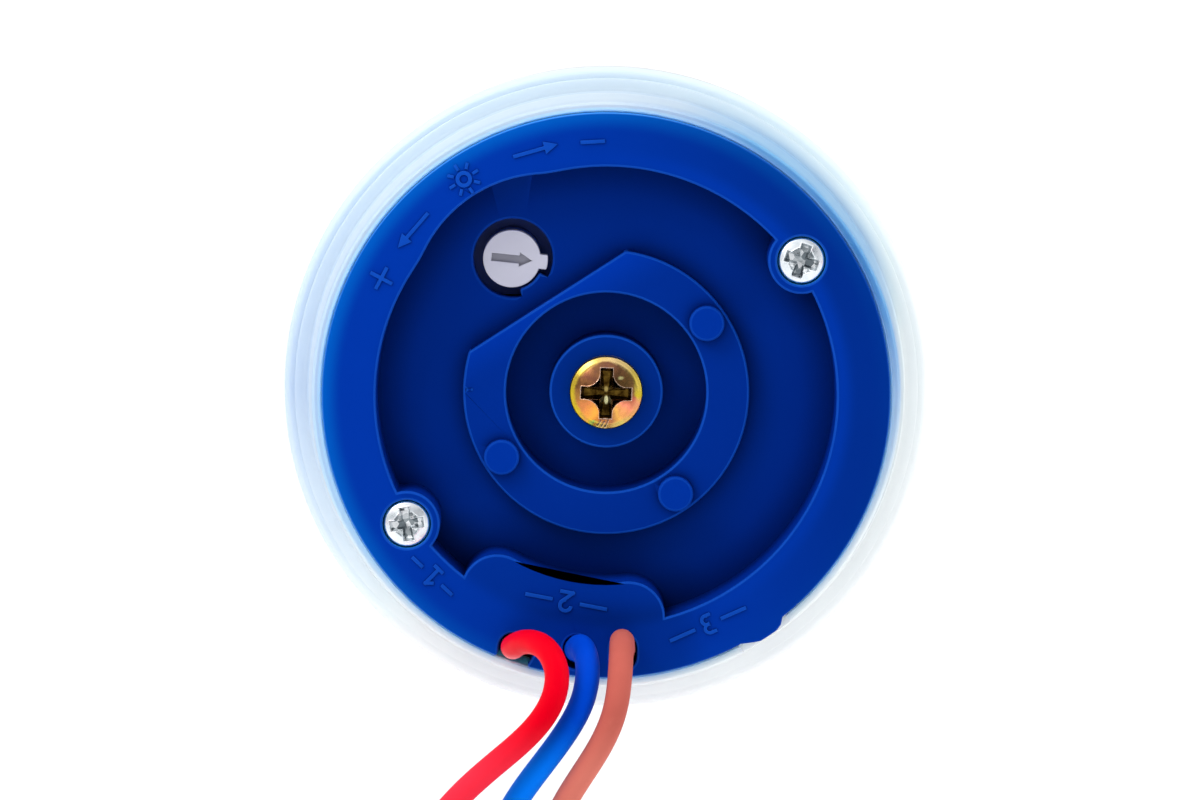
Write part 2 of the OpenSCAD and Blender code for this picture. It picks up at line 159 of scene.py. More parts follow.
def xyz(nt):
    c = nt.nodes.new("ShaderNodeTexCoord")
    s = nt.nodes.new("ShaderNodeSeparateXYZ")
    nt.links.new(c.outputs["Object"], s.inputs[0])
    return s.outputs


def attribute(nt, name):
    a = nt.nodes.new("ShaderNodeAttribute")
    a.attribute_type = "GEOMETRY"
    a.attribute_name = name
    return a.outputs["Fac"]


def hollow(nt, reach):
    """How open a place is, from 0 deep in a corner to 1."""
    a = nt.nodes.new("ShaderNodeAmbientOcclusion")
    a.samples = 8
    a.only_local = True
    a.inputs["Distance"].default_value = reach
    return a.outputs["AO"]


def from_axis(nt, o):
    """Distance from the axis of the switch in millimetres."""
    return maths(nt, "MULTIPLY", maths(nt, "SQRT", maths(nt, "ADD", maths(nt, "MULTIPLY", o["X"], o["X"]), maths(nt, "MULTIPLY", o["Z"], o["Z"]))), 1000.0)


def plain(name, dark, light, rough=0.45, spread=0.08, grain=900, bump_d=0.00002, metallic=0.0, specular=0.4, coat=0.0, big=60):
    """Moulded, coated or plated stuff: two close tones, uneven gloss and a fine surface."""
    m, nt, b = material(name)
    v = coords(nt)
    patches = noise_tex(nt, v, big, 4)
    fine = noise_tex(nt, v, grain, 2)
    nt.links.new(ramp(nt, patches, [(0.3, dark), (0.7, light)]), b.inputs["Base Color"])
    nt.links.new(remap(nt, noise_tex(nt, v, big * 4, 5, 0.7), 0.3, 0.7, rough - spread, rough + spread), b.inputs["Roughness"])
    bump(nt, b, fine, 0.25, bump_d)
    b.inputs["Metallic"].default_value = metallic
    b.inputs["Specular IOR Level"].default_value = specular
    b.inputs["Coat Weight"].default_value = coat
    b.inputs["Coat Roughness"].default_value = 0.15
    return m


# Blue base: deep even blue, satin plastic that lets some light through. Its colour also carries painted light: painted
# shade darkens the deeper levels, the corners and the far side, and painted highlights pale its rounded edges, the
# outer band of the rim and the disc's edge.
BLUE, nt, b = material("blue_plastic")
v = coords(nt)
o = xyz(nt)
depth = maths(nt, "MULTIPLY", o["Y"], 1000.0)
blue = ramp(nt, noise_tex(nt, v, 45, 3), [(0.3, (0.0, 0.0278, 0.322)), (0.7, (0.0001, 0.0306, 0.346))])
# painted shade: the deeper the level, the darker it is painted
depth_shade = ramp(nt, remap(nt, depth, -4.7, 7.0), [
    (0.0, (1.0, 1.0, 1.0)), (0.39, (0.72, 0.73, 0.76)), (0.43, (0.72, 0.73, 0.76)), (0.47, (0.62, 0.63, 0.62)), (0.52, (0.7, 0.7, 0.7)),
    (0.6, (0.7, 0.74, 0.78)), (0.75, (0.7, 0.74, 0.78)), (0.9, (0.95, 0.95, 1.0)), (1.0, (0.95, 0.95, 1.0))])
blue = mix(nt, 1.0, blue, depth_shade, "MULTIPLY")
# painted shade in corners and hollows, from ambient occlusion
corner_shade = ramp(nt, hollow(nt, 0.006), [(0.2, (0.22, 0.22, 0.24)), (0.6, (0.58, 0.58, 0.62)), (0.9, (1.0, 1.0, 1.0))])
blue = mix(nt, 1.0, blue, corner_shade, "MULTIPLY")
# painted highlight: a paler band along the outer edge of the rim, strongest on the upper left
side = remap(nt, maths(nt, "ADD", maths(nt, "MULTIPLY", o["X"], -0.75), maths(nt, "MULTIPLY", o["Z"], 0.65)), -0.03, 0.03, 0.0, 1.0, True)
rim_edge_highlight = maths(nt, "MULTIPLY", remap(nt, from_axis(nt, o), 30.4, 32.65, 0.0, 1.0, True), maths(nt, "ADD", maths(nt, "MULTIPLY", side, 0.7), 0.04))
blue = mix(nt, rim_edge_highlight, blue, (0.0, 0.11, 0.52))
# painted shade: the side far from the window is painted a shade deeper, and so are the land, the floor low down and
# the face of the rim by the leads
away = remap(nt, maths(nt, "ADD", maths(nt, "MULTIPLY", o["X"], 0.95), maths(nt, "MULTIPLY", o["Z"], 0.25)), 0.0, 0.028, 0.0, 0.3, True)
away = maths(nt, "MULTIPLY", away, remap(nt, from_axis(nt, o), 27.0, 29.0, 0.0, 1.0, True))
land = maths(nt, "MULTIPLY", remap(nt, from_axis(nt, o), 27.5, 25.5, 0.0, 0.2, True), remap(nt, depth, -3.0, -4.0, 0.0, 1.0))
low = maths(nt, "MULTIPLY", remap(nt, o["Z"], -0.011, -0.0195, 0.0, 0.22, True), maths(nt, "MULTIPLY", remap(nt, depth, 1.2, 2.2), remap(nt, o["X"], 0.017, 0.008, 0.0, 1.0, True)))
foot = maths(nt, "MULTIPLY", remap(nt, o["Z"], -0.0225, -0.0262, 0.0, 0.24, True), maths(nt, "MULTIPLY", remap(nt, depth, -3.0, -4.0), remap(nt, maths(nt, "ABSOLUTE", o["X"]), 0.013, 0.008, 0.0, 1.0, True)))
blue = mix(nt, maths(nt, "ADD", maths(nt, "ADD", away, land), maths(nt, "ADD", low, foot)), blue, (0.0, 0.0, 0.0))
# painted light: the seat by its flat, on the upper left, is painted paler
near_flat = remap(nt, maths(nt, "ADD", maths(nt, "MULTIPLY", o["X"], -0.5), maths(nt, "MULTIPLY", o["Z"], 0.866)), 0.008, 0.014, 0.0, 0.3, True)
near_flat = maths(nt, "MULTIPLY", near_flat, maths(nt, "MULTIPLY", remap(nt, maths(nt, "ABSOLUTE", depth), 0.4, 0.2), remap(nt, from_axis(nt, o), 18.0, 17.0)))
blue = mix(nt, near_flat, blue, (0.0, 0.06, 0.7))
# painted light: the tops of the pips are painted a touch paler
pips = maths(nt, "MULTIPLY", maths(nt, "MULTIPLY", remap(nt, depth, -1.1, -1.4), remap(nt, depth, -1.75, -1.6)), remap(nt, from_axis(nt, o), 19.0, 18.0, 0.0, 0.04))
blue = mix(nt, pips, blue, (0.0, 0.1, 1.0))
around = remap(nt, maths(nt, "ARCTAN2", o["Z"], o["X"]), -math.pi, math.pi)
# painted highlight along the disc's outer edge, varying in strength round it
painted_edge_glint = ramp(nt, around, [(0.0, (0.3, 0.3, 0.3)), (0.083, (0.4, 0.4, 0.4)), (0.3, (0.3, 0.3, 0.3)), (0.325, (0.0, 0.0, 0.0)), (0.36, (0.0, 0.0, 0.0)), (0.385, (0.3, 0.3, 0.3)),
                         (0.5, (0.3, 0.3, 0.3)), (0.545, (0.0, 0.0, 0.0)), (0.65, (0.1, 0.1, 0.1)), (0.75, (0.75, 0.75, 0.75)), (0.9, (0.5, 0.5, 0.5)), (1.0, (0.3, 0.3, 0.3))])
blue = mix(nt, maths(nt, "MULTIPLY", painted_edge_glint, remap(nt, from_axis(nt, o), 32.5, 32.68, 0.0, 1.0, True)), blue, (0.1, 0.42, 0.95))
# painted light on the disc's outer wall, left out at the tab
wall_ = maths(nt, "MULTIPLY", remap(nt, from_axis(nt, o), 32.66, 32.69), remap(nt, from_axis(nt, o), 32.75, 32.72))
wall_ = maths(nt, "MULTIPLY", wall_, ramp(nt, around, [(0.29, (0.8, 0.8, 0.8)), (0.315, (0.0, 0.0, 0.0)), (0.37, (0.0, 0.0, 0.0)), (0.395, (0.8, 0.8, 0.8))]))
blue = mix(nt, wall_, blue, (0.03, 0.32, 0.95))
# painted reflection: a paler ring on the counterbore edge round each small screw
for sx_, sz_ in ((0.0224, 0.0157), (-0.023, -0.01475)):
    far = maths(nt, "SQRT", maths(nt, "ADD", maths(nt, "POWER", maths(nt, "SUBTRACT", o["X"], sx_), 2.0), maths(nt, "POWER", maths(nt, "SUBTRACT", o["Z"], sz_), 2.0)))
    blue = mix(nt, remap(nt, far, 0.0029, 0.00282, 0.0, 0.85), blue, (0.02, 0.26, 0.62))
# painted highlight on the rounded edges, from the edge_light faces
edge_highlight = maths(nt, "MULTIPLY", attribute(nt, "edge_light"), remap(nt, noise_tex(nt, v, 120, 3), 0.3, 0.7, 0.75, 1.0))
blue = mix(nt, edge_highlight, blue, (0.006, 0.072, 0.46))
nt.links.new(blue, b.inputs["Base Color"])
nt.links.new(remap(nt, noise_tex(nt, v, 260, 5, 0.7), 0.3, 0.7, 0.4, 0.52), b.inputs["Roughness"])
b.inputs["Specular IOR Level"].default_value = 0.14
b.inputs["Specular Tint"].default_value = (0.05, 0.4, 1.0, 1.0)
bump(nt, b, noise_tex(nt, v, 1400, 2), 0.18, 0.00002)
bump(nt, b, noise_tex(nt, coords(nt, (1, 1, 1)), 90, 2), 0.05, 0.0002)

# Opal cover: milky white, with painted light: painted blue reflection and shade near the blue base that it closes on,
# and painted shade on its walls and shoulder
OPAL, nt, b = material("opal_plastic")
v = coords(nt)
o = xyz(nt)
radius = from_axis(nt, o)
white = ramp(nt, noise_tex(nt, v, 30, 3), [(0.3, (0.86, 0.935, 0.95)), (0.7, (0.89, 0.955, 0.965))])
front = remap(nt, o["Y"], 0.0035, 0.0012, 0.0, 1.0, True)
around = remap(nt, maths(nt, "ARCTAN2", o["Z"], o["X"]), -math.pi, math.pi)
# painted shade: the cover's front is painted greyer towards the left
white = mix(nt, maths(nt, "MULTIPLY", front, remap(nt, o["X"], 0.005, -0.025, 0.0, 1.0, True)), white, (0.78, 0.83, 0.85))
# painted shade: behind the ring the milky wall is painted greyer, more so to the right, least of all over the top of
# the dome
behind = remap(nt, o["Y"], 0.0036, 0.0056, 0.0, 1.0, True)
wall_shade = mix(nt, remap(nt, o["X"], -0.035, 0.035), (0.58, 0.62, 0.645), (0.43, 0.46, 0.48))
wall_shade = mix(nt, remap(nt, radius, 34.0, 20.0, 0.0, 1.0, True), wall_shade, (0.72, 0.765, 0.785))
white = mix(nt, behind, white, wall_shade)
# painted shade: the shoulder is painted pale blue-grey over the top and the left
step = maths(nt, "MULTIPLY", remap(nt, o["Y"], 0.0016, 0.0022, 0.0, 1.0, True), remap(nt, o["Y"], 0.0058, 0.0036, 0.0, 1.0, True))
shoulder_shade = ramp(nt, around, [
    (0.0, (0.5, 0.61, 0.76)), (0.083, (0.7, 0.8, 0.88)), (0.15, (0.9, 0.985, 0.995)), (0.45, (0.9, 0.985, 0.995)), (0.55, (0.86, 0.955, 0.975)),
    (0.64, (0.7, 0.81, 0.86)), (0.75, (0.6, 0.71, 0.8)), (0.87, (0.57, 0.69, 0.8)), (1.0, (0.5, 0.61, 0.76))])
white = mix(nt, step, white, shoulder_shade)
# painted shade: the collar's side is painted grey-blue
side = maths(nt, "MULTIPLY", remap(nt, o["Y"], -0.0037, -0.0028, 0.0, 1.0, True), remap(nt, o["Y"], 0.0023, 0.0017, 0.0, 1.0, True))
side = maths(nt, "MULTIPLY", side, remap(nt, o["Z"], -0.031, -0.018, 0.1, 1.0, True))
white = mix(nt, side, white, mix(nt, remap(nt, o["X"], -0.034, 0.034), (0.57, 0.65, 0.73), (0.54, 0.62, 0.66)))
# painted reflection and shade: the ring around the disc is painted with the base's blue, most at the upper right and
# hardly at all below
shade = ramp(nt, around, [
    (0.0, (0.378, 0.527, 0.719)), (0.083, (0.4, 0.61, 0.82)), (0.15, (0.62, 0.76, 0.82)), (0.36, (0.63, 0.77, 0.82)), (0.42, (0.66, 0.77, 0.81)),
    (0.5, (0.314, 0.465, 0.68)), (0.545, (0.1, 0.3, 0.6)), (0.583, (0.035, 0.21, 0.5)), (0.667, (0.11, 0.31, 0.57)), (0.71, (0.34, 0.46, 0.62)),
    (0.75, (0.48, 0.575, 0.675)), (0.833, (0.41, 0.53, 0.64)), (0.917, (0.41, 0.53, 0.66)), (1.0, (0.39, 0.53, 0.72))])
wide = ramp(nt, around, [(0.0, (0.62, 0.62, 0.62)), (0.083, (0.1, 0.1, 0.1)), (0.15, (0.0, 0.0, 0.0)), (0.42, (0.05, 0.05, 0.05)), (0.5, (0.35, 0.35, 0.35)),
                         (0.583, (0.72, 0.72, 0.72)), (0.667, (0.75, 0.75, 0.75)), (0.75, (0.7, 0.7, 0.7)), (0.9, (0.7, 0.7, 0.7)), (1.0, (0.62, 0.62, 0.62))])
reach = maths(nt, "SUBTRACT", radius, maths(nt, "MULTIPLY", wide, 1.9))
ring = maths(nt, "MULTIPLY", front, remap(nt, reach, 33.0, 34.1, 1.0, 0.0, True))
band_y = maths(nt, "MULTIPLY", remap(nt, o["Y"], -0.0034, -0.0012, 0.0, 0.55, True), remap(nt, o["Y"], 0.0024, 0.0018, 0.0, 1.0, True))
ring = maths(nt, "MULTIPLY", ring, maths(nt, "SUBTRACT", 1.0, band_y))
opal_with_painted_light = mix(nt, ring, white, shade)
# painted reflection: a blue wedge on the shoulder at the upper right
wedge = maths(nt, "MULTIPLY", ramp(nt, around, [(0.53, (0.0, 0.0, 0.0)), (0.58, (0.6, 0.6, 0.6)), (0.65, (0.6, 0.6, 0.6)), (0.71, (0.0, 0.0, 0.0))]),
              maths(nt, "MULTIPLY", remap(nt, o["Y"], 0.0045, 0.0035), remap(nt, radius, 36.4, 34.0, 0.0, 1.0, True)))
opal_with_painted_light = mix(nt, maths(nt, "MULTIPLY", wedge, remap(nt, radius, 33.4, 34.0)), opal_with_painted_light, (0.2, 0.46, 0.74))
# painted highlights: a pale line on the edge of the bore and a bright cyan strip just outside it, both varying in
# strength round the disc
painted_edge_glint = ramp(nt, around, [(0.0, (0.7, 0.7, 0.7)), (0.083, (0.4, 0.4, 0.4)), (0.15, (0.2, 0.2, 0.2)), (0.42, (0.2, 0.2, 0.2)), (0.5, (0.4, 0.4, 0.4)),
                         (0.545, (0.0, 0.0, 0.0)), (0.65, (0.1, 0.1, 0.1)), (0.75, (0.9, 0.9, 0.9)), (0.917, (1.0, 1.0, 1.0)), (1.0, (0.7, 0.7, 0.7))])
bore_edge_light = ramp(nt, around, [(0.0, (1.0, 1.0, 1.0)), (0.51, (0.8, 0.8, 0.8)), (0.56, (0.3, 0.3, 0.3)), (0.68, (0.3, 0.3, 0.3)), (0.74, (0.9, 0.9, 0.9)), (1.0, (1.0, 1.0, 1.0))])
opal_with_painted_light = mix(nt, maths(nt, "MULTIPLY", bore_edge_light, maths(nt, "MULTIPLY", front, remap(nt, radius, 33.0, 32.97))), opal_with_painted_light, (0.55, 0.8, 1.0))
opal_with_painted_light = mix(nt, maths(nt, "MULTIPLY", painted_edge_glint, maths(nt, "MULTIPLY", front, remap(nt, radius, 33.35, 33.1, 0.0, 1.0))), opal_with_painted_light, (0.5, 0.78, 0.98))
nt.links.new(opal_with_painted_light, b.inputs["Base Color"])
nt.links.new(remap(nt, noise_tex(nt, v, 200, 5, 0.7), 0.3, 0.7, 0.3, 0.42), b.inputs["Roughness"])
b.inputs["Specular IOR Level"].default_value = 0.4
b.inputs["Subsurface Weight"].default_value = 0.7
b.inputs["Subsurface Radius"].default_value = (1.0, 1.0, 1.0)
b.inputs["Subsurface Scale"].default_value = 0.002
bump(nt, b, noise_tex(nt, v, 1100, 2), 0.12, 0.00002)

# Bright zinc of the small screws
ZINC, nt, b = material("bright_zinc")
v = coords(nt)
zinc = ramp(nt, noise_tex(nt, v, 900, 4, 0.6), [(0.3, (0.7, 0.78, 0.82)), (0.55, (0.86, 0.91, 0.94)), (0.75, (0.94, 0.95, 0.96))])
zinc = mix(nt, remap(nt, noise_tex(nt, v, 330, 2), 0.62, 0.74, 0.0, 0.5), zinc, (0.85, 0.55, 0.68))
# painted light and shade: the faces of the cross recess are painted in light and dark patches
cells = nt.nodes.new("ShaderNodeTexVoronoi")
cells.inputs["Scale"].default_value = 1500
nt.links.new(v, cells.inputs["Vector"])
recess_facet_shading = ramp(nt, cells.outputs["Color"], [(0.3, (0.16, 0.19, 0.21)), (0.5, (0.4, 0.44, 0.46)), (0.72, (0.85, 0.88, 0.9))])
zinc = mix(nt, attribute(nt, "recess"), zinc, recess_facet_shading)
# painted highlight on the lip of the recess
zinc = mix(nt, attribute(nt, "lip"), zinc, (0.98, 0.99, 1.0))
nt.links.new(zinc, b.inputs["Base Color"])
b.inputs["Metallic"].default_value = 1.0
nt.links.new(remap(nt, noise_tex(nt, v, 1500, 4, 0.7), 0.3, 0.7, 0.22, 0.44), b.inputs["Roughness"])
bump(nt, b, noise_tex(nt, v, 1800, 3), 0.25, 0.00003)

# Yellow passivated zinc: gold that runs to pink, yellow, green and cyan. The hues are its own, but their lightness
# round the head is partly painted light.
GOLD, nt, b = material("yellow_zinc")
v = coords(nt)
o = xyz(nt)
ang = maths(nt, "ARCTAN2", o["Z"], o["X"])
warp = maths(nt, "SUBTRACT", noise_tex(nt, v, 420, 4, 0.6), 0.5)
turn = remap(nt, maths(nt, "ADD", maths(nt, "DIVIDE", ang, 6.2832), maths(nt, "MULTIPLY", warp, 0.2)), -0.5, 0.5, 0.0, 1.0)
# painted highlight near the top of the rim
rim_gold = ramp(nt, turn, [
    (0.0, (0.62, 0.45, 0.0)), (0.08, (0.68, 0.48, 0.0)), (0.125, (0.75, 0.36, 0.1)), (0.17, (0.8, 0.55, 0.02)),
    (0.198, (0.25, 0.62, 0.16)), (0.222, (0.68, 0.5, 0.06)), (0.27, (0.65, 0.42, 0.18)), (0.32, (0.62, 0.5, 0.18)),
    (0.37, (0.8, 0.36, 0.18)), (0.45, (0.8, 0.3, 0.24)), (0.515, (0.66, 0.52, 0.0)), (0.59, (0.5, 0.38, 0.1)),
    (0.7, (0.85, 0.62, 0.45)), (0.79, (0.62, 0.44, 0.16)), (0.87, (0.5, 0.3, 0.1)), (0.96, (0.62, 0.46, 0.0))])
# painted shade over the upper half of the head, painted reflection of the bright ground over its lower half
inner = ramp(nt, turn, [
    (0.0, (0.36, 0.2, 0.02)), (0.08, (0.8, 0.3, 0.1)), (0.15, (1.0, 0.5, 0.06)), (0.21, (0.8, 0.4, 0.05)), (0.26, (0.4, 0.16, 0.08)),
    (0.32, (0.95, 0.6, 0.12)), (0.4, (1.0, 0.36, 0.26)), (0.48, (0.5, 0.14, 0.1)), (0.54, (0.12, 0.07, 0.01)), (0.62, (0.14, 0.09, 0.01)),
    (0.7, (0.2, 0.08, 0.05)), (0.78, (0.18, 0.08, 0.04)), (0.88, (0.22, 0.07, 0.04)), (1.0, (0.36, 0.2, 0.02))])
body_gold = mix(nt, remap(nt, noise_tex(nt, v, 900, 5, 0.65, 0.4), 0.42, 0.6, 0.0, 0.42), inner, (0.34, 0.17, 0.04))
body_gold = mix(nt, 0.8, body_gold, (1.0, 0.74, 0.5), "MULTIPLY")
rim_gold = mix(nt, 0.8, rim_gold, (1.0, 0.97, 0.45), "MULTIPLY")
r2 = from_axis(nt, o)
metal = mix(nt, remap(nt, maths(nt, "ADD", r2, maths(nt, "MULTIPLY", warp, 1.2)), 3.35, 3.75, 0.0, 1.0, True), body_gold, rim_gold)
# painted shade in the cross recess
metal = mix(nt, attribute(nt, "recess"), metal, ramp(nt, noise_tex(nt, v, 1300, 3), [(0.4, (0.03, 0.014, 0.002)), (0.66, (0.13, 0.075, 0.012))]))
# painted highlights: a bright streak low in the recess, a dimmer patch above the centre and a glint at the upper right
recess_streak = maths(nt, "SQRT", maths(nt, "ADD", maths(nt, "POWER", maths(nt, "MULTIPLY", o["X"], 3400.0), 2.0), maths(nt, "POWER", maths(nt, "MULTIPLY", maths(nt, "ADD", o["Z"], 0.00085), 1700.0), 2.0)))
metal = mix(nt, remap(nt, recess_streak, 1.0, 0.55, 0.0, 1.0, True), metal, (1.0, 0.95, 0.5))
upper = maths(nt, "SQRT", maths(nt, "ADD", maths(nt, "POWER", maths(nt, "MULTIPLY", o["X"], 2800.0), 2.0), maths(nt, "POWER", maths(nt, "MULTIPLY", maths(nt, "SUBTRACT", o["Z"], 0.0004), 2100.0), 2.0)))
metal = mix(nt, remap(nt, upper, 1.0, 0.3, 0.0, 0.6, True), metal, (0.5, 0.38, 0.12))
glint = maths(nt, "SQRT", maths(nt, "ADD", maths(nt, "POWER", maths(nt, "MULTIPLY", maths(nt, "SUBTRACT", o["X"], 0.0017), 2200.0), 2.0), maths(nt, "POWER", maths(nt, "MULTIPLY", maths(nt, "SUBTRACT", o["Z"], 0.0018), 3600.0), 2.0)))
metal = mix(nt, remap(nt, glint, 1.0, 0.3, 0.0, 1.0, True), metal, (1.0, 0.9, 0.35))
# painted highlight on the lip of the recess
metal = mix(nt, attribute(nt, "lip"), metal, (0.9, 0.7, 0.55))
nt.links.new(metal, b.inputs["Base Color"])
b.inputs["Metallic"].default_value = 1.0
nt.links.new(remap(nt, noise_tex(nt, v, 1600, 4, 0.7), 0.3, 0.7, 0.16, 0.36), b.inputs["Roughness"])
bump(nt, b, noise_tex(nt, v, 1500, 3), 0.2, 0.00003)

KNOB = plain("grey_plastic", (0.65, 0.65, 0.755), (0.71, 0.71, 0.82), 0.55, 0.06, 1400, 0.00003, specular=0.3)
nt = KNOB.node_tree
b = nt.nodes["Principled BSDF"]
face = b.inputs["Base Color"].links[0].from_socket
nt.links.new(mix(nt, attribute(nt, "arrow"), face, (0.3, 0.3, 0.36)), b.inputs["Base Color"])
TRIM = plain("trimmer_case", (0.001, 0.045, 0.4), (0.002, 0.06, 0.5), 0.45, 0.08, 1200)
DARK = plain("dark_plastic", (0.018, 0.018, 0.022), (0.03, 0.03, 0.034), 0.42, 0.08, 1200)
SEAL = plain("seal_rubber", (0.02, 0.02, 0.022), (0.035, 0.035, 0.037), 0.75, 0.08, 1500, 0.00004)
BRASS = plain("brass", (0.62, 0.44, 0.15), (0.78, 0.6, 0.28), 0.28, 0.08, 1500, 0.00002, metallic=1.0)
TIN = plain("tinned_wire", (0.6, 0.61, 0.62), (0.8, 0.81, 0.82), 0.3, 0.1, 2500, 0.00003, metallic=1.0)
RELAY = plain("relay_case", (0.008, 0.05, 0.22), (0.012, 0.065, 0.28), 0.35, 0.06, 900, 0.00002, coat=0.3)
FILM = plain("capacitor_case", (0.45, 0.035, 0.02), (0.55, 0.055, 0.03), 0.32, 0.06, 900, 0.00002, coat=0.3)
MOV = plain("varistor_coat", (0.008, 0.1, 0.36), (0.014, 0.14, 0.46), 0.3, 0.08, 700, 0.00004, coat=0.4)
ZENER = plain("zener_glass", (0.45, 0.1, 0.035), (0.58, 0.17, 0.06), 0.12, 0.04, 900, 0.00001, coat=0.8)
RESIST = plain("resistor_coat", (0.55, 0.4, 0.2), (0.66, 0.5, 0.27), 0.38, 0.06, 1100, 0.00003, coat=0.3)
DROP = plain("dropper_coat", (0.08, 0.21, 0.3), (0.12, 0.28, 0.4), 0.4, 0.06, 1100, 0.00003, coat=0.2)

# Brown paper laminate, with fibres
BOARD, nt, b = material("board_laminate")
v = coords(nt, (60, 500, 900))
nt.links.new(ramp(nt, noise_tex(nt, v, 3, 6, 0.7), [(0.35, (0.36, 0.23, 0.09)), (0.65, (0.5, 0.36, 0.16))]), b.inputs["Base Color"])
nt.links.new(remap(nt, noise_tex(nt, v, 5, 4), 0.3, 0.7, 0.4, 0.6), b.inputs["Roughness"])
bump(nt, b, noise_tex(nt, v, 6, 4), 0.2, 0.00002)

# Zigzag track of the light sensor under clear lacquer
SENSOR, nt, b = material("ldr_face")
w = nt.nodes.new("ShaderNodeTexWave")
w.wave_type = "BANDS"
w.bands_direction = "X"
w.inputs["Scale"].default_value = 420
w.inputs["Distortion"].default_value = 0.0
nt.links.new(coords(nt), w.inputs["Vector"])
nt.links.new(ramp(nt, w.outputs["Fac"], [(0.45, (0.72, 0.22, 0.06)), (0.55, (0.88, 0.78, 0.6))]), b.inputs["Base Color"])
b.inputs["Roughness"].default_value = 0.25
b.inputs["Coat Weight"].default_value = 1.0


def insulation(name, dark, light, bloom, low):
    """Extruded PVC: even colour with a faint bloom here and there, and painted light that makes it paler down its
    length, where it hangs low.
    """
    m, nt, b = material(name)
    v = coords(nt)
    o = xyz(nt)
    base = ramp(nt, noise_tex(nt, v, 130, 3), [(0.3, dark), (0.7, light)])
    base = mix(nt, remap(nt, noise_tex(nt, v, 420, 5, 0.7), 0.56, 0.75, 0.0, 0.16), base, bloom)
    # painted light: the lead is painted paler low down
    base = mix(nt, remap(nt, o["Z"], -0.034, -0.042, 0.0, 0.8, True), base, low)
    nt.links.new(base, b.inputs["Base Color"])
    nt.links.new(remap(nt, noise_tex(nt, v, 350, 4), 0.3, 0.7, 0.42, 0.58), b.inputs["Roughness"])
    b.inputs["Specular IOR Level"].default_value = 0.08
    b.inputs["Specular Tint"].default_value = (*[0.05 + 0.95 * c for c in light], 1.0)
    bump(nt, b, noise_tex(nt, v, 1500, 2), 0.15, 0.00003)
    return m


RED = insulation("red_insulation", (0.72, 0.0, 0.01), (0.82, 0.0, 0.014), (0.9, 0.02, 0.035), (0.98, 0.036, 0.07))
nt = RED.node_tree
b = nt.nodes["Principled BSDF"]
o = xyz(nt)
# painted light: the underside of the red lead's arch is painted pink, as lit by light off the white cover
under = maths(nt, "MULTIPLY", remap(nt, o["X"], -0.0076, -0.0095, 0.0, 1.0, True), remap(nt, o["Z"], -0.0288, -0.0302, 0.0, 0.6, True))
under = maths(nt, "MULTIPLY", under, remap(nt, o["Z"], -0.0335, -0.0322, 0.0, 1.0, True))
nt.links.new(mix(nt, under, b.inputs["Base Color"].links[0].from_socket, (0.95, 0.32, 0.34)), b.inputs["Base Color"])
BLUEW = insulation("blue_insulation", (0.0, 0.05, 0.53), (0.0002, 0.06, 0.61), (0.003, 0.12, 0.7), (0.0015, 0.22, 1.0))
BROWN = insulation("brown_insulation", (0.48, 0.105, 0.08), (0.55, 0.125, 0.096), (0.6, 0.19, 0.15), (0.71, 0.2, 0.15))


def finish_material(o, m):
    o.data.materials.clear()
    o.data.materials.append(m)


# ------------------------------------------------------------------- leads
def bspline(points, n):
    p = [np.array(q, float) for q in points]
    q = [2 * p[0] - p[1]] + p + [2 * p[-1] - p[-2]]
    out = []
    for i in range(len(p) - 1):
        a, b, c, d = q[i:i + 4]
        for k in range(n):
            t = k / n
            out.append(((1 - t) ** 3 * a + (3 * t ** 3 - 6 * t * t + 4) * b + (-3 * t ** 3 + 3 * t * t + 3 * t + 1) * c + t ** 3 * d) / 6)
    out.append(p[-1])
    return np.array([[c[0] * MM, -c[2] * MM, c[1] * MM] for c in out])


def frames(line):
    """A direction and two crosswise axes at each point, without twist."""
    d = np.gradient(line, axis=0)
    d /= np.linalg.norm(d, axis=1)[:, None]
    u = np.cross(d[0], [1.0, 0, 0])
    u /= np.linalg.norm(u)
    us = []
    for t in d:
        u = u - t * (u @ t)
        u /= np.linalg.norm(u)
        us.append(u.copy())
    us = np.array(us)
    return d, us, np.cross(d, us)


def mesh_object(name, verts, faces, smooth=True):
    me = bpy.data.meshes.new(name)
    me.from_pydata([tuple(v) for v in verts], [], faces)
    me.validate()
    bm = bmesh.new()
    bm.from_mesh(me)
    bmesh.ops.recalc_face_normals(bm, faces=bm.faces)
    bm.to_mesh(me)
    bm.free()
    for p in me.polygons:
        p.use_smooth = smooth
    ob = bpy.data.objects.new(name, me)
    COL.objects.link(ob)
    return ob


def tube(name, line, radii, sides=24):
    """A tube along line with a radius at each point, closed by discs."""
    d, u, w = frames(line)
    verts, faces = [], []
    for c, a, b, r in zip(line, u, w, radii):
        for k in range(sides):
            t = 2 * math.pi * k / sides
            verts.append(c + r * (math.cos(t) * a + math.sin(t) * b))
    n = len(line)
    for i in range(n - 1):
        for k in range(sides):
            j = (k + 1) % sides
            faces.append((i * sides + k, i * sides + j, (i + 1) * sides + j, (i + 1) * sides + k))
    verts += [line[0], line[-1]]
    for k in range(sides):
        j = (k + 1) % sides
        faces.append((n * sides, j, k))
        faces.append((n * sides + 1, (n - 1) * sides + k, (n - 1) * sides + j))
    return verts, faces


